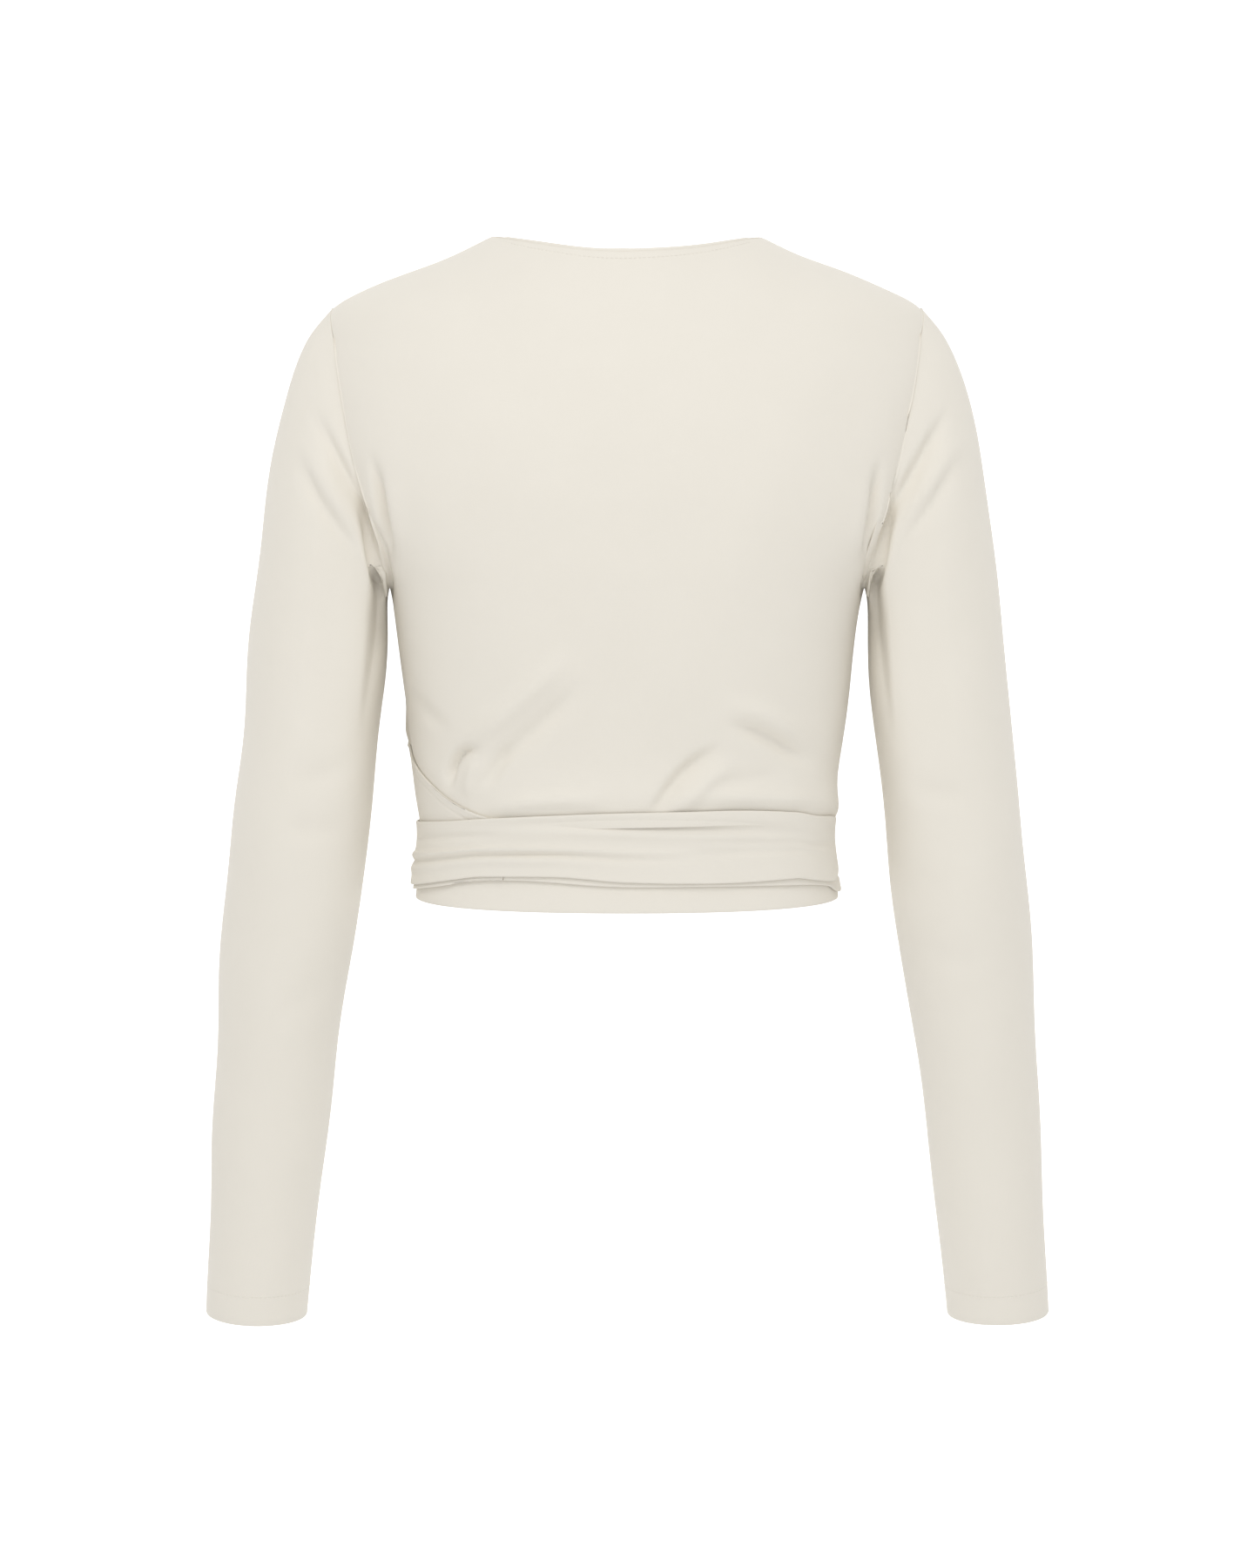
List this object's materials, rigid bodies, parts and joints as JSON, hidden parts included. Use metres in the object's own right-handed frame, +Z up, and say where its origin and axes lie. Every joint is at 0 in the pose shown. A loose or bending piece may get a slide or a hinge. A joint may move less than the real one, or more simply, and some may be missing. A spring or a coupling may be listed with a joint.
{
  "type": "long-sleeved cropped wrap top",
  "caption": "Cropped wrap top in smooth cream jersey with long sleeves, crossed fronts and ties wound round the waist, hollow and filled out as worn.",
  "frame": {"origin": "middle of the neck opening, level with the neck ends of the shoulder seams, where the wearer's shoulders carry the top", "axes": "+Z up, +X to the wearer's left, -Y to the wearer's front"},
  "size_m": [0.5058, 0.2159, 0.6465],
  "materials": {
    "jersey": "smooth matt cream single jersey",
    "jersey_tie": "smooth matt cream single jersey, doubled"
  },
  "bodies": {
    "root": {"back": "jersey", "front_right": "jersey", "front_left": "jersey", "sleeve_left": "jersey", "sleeve_right": "jersey", "tie_right_back": "jersey_tie", "tie_right_front": "jersey_tie", "tie_left_back": "jersey_tie", "tie_left_front": "jersey_tie", "knot": "jersey_tie", "end_right": "jersey_tie", "end_left": "jersey_tie"}
  },
  "joints": []
}
